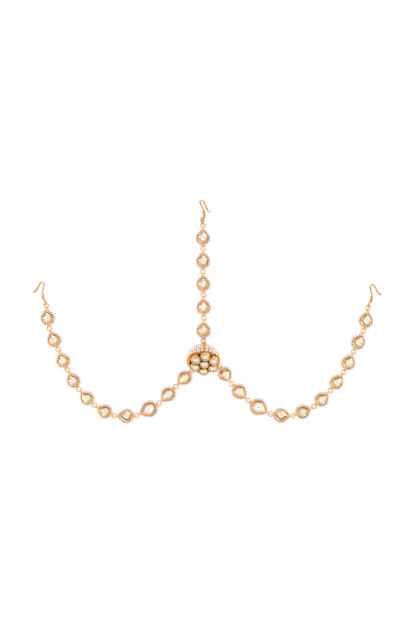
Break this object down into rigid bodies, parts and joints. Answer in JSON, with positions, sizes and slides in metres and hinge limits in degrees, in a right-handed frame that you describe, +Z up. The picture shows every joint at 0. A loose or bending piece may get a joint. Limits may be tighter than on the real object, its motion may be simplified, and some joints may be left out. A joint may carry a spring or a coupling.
{
  "type": "matha patti",
  "caption": "Head ornament: three linked strands of pear stones edged with seed pearls, meeting at a domed pendant with a flower of round stones, each strand ending in a wire hook.",
  "frame": {"origin": "middle of the footprint, on the surface that the ornament lies on", "axes": "+Z up out of the surface, +Y along the top strand from the pendant to its hook, +X across the two side strands"},
  "size_m": [0.2806, 0.179, 0.0256],
  "materials": {
    "gold": "warm gold plate over brass, polished, with darker recesses",
    "pearl": "pinkish white imitation seed pearls with a soft lustre",
    "stone": "clear cut glass over a pale foil"
  },
  "bodies": {
    "root": {"left_setting_1": "gold", "left_setting_2": "gold", "left_setting_3": "gold", "left_setting_4": "gold", "left_setting_5": "gold", "left_setting_6": "gold", "left_setting_7": "gold", "left_setting_8": "gold", "left_setting_9": "gold", "left_setting_10": "gold", "right_setting_1": "gold", "right_setting_2": "gold", "right_setting_3": "gold", "right_setting_4": "gold", "right_setting_5": "gold", "right_setting_6": "gold", "right_setting_7": "gold", "right_setting_8": "gold", "right_setting_9": "gold", "right_setting_10": "gold", "top_setting_1": "gold", "top_setting_2": "gold", "top_setting_3": "gold", "top_setting_4": "gold", "top_setting_5": "gold", "left_links": "gold", "right_links": "gold", "top_links": "gold", "left_hook": "gold", "right_hook": "gold", "top_hook": "gold", "dome": "gold", "flower": "gold", "left_pearls": "pearl", "right_pearls": "pearl", "top_pearls": "pearl", "dome_pearls": "pearl", "left_stones": "stone", "right_stones": "stone", "top_stones": "stone", "rim_stones": "stone", "flower_stone_1": "stone", "flower_stone_2": "stone", "flower_stone_3": "stone", "flower_stone_4": "stone", "flower_stone_5": "stone", "flower_stone_6": "stone", "flower_stone_7": "stone"}
  },
  "joints": []
}
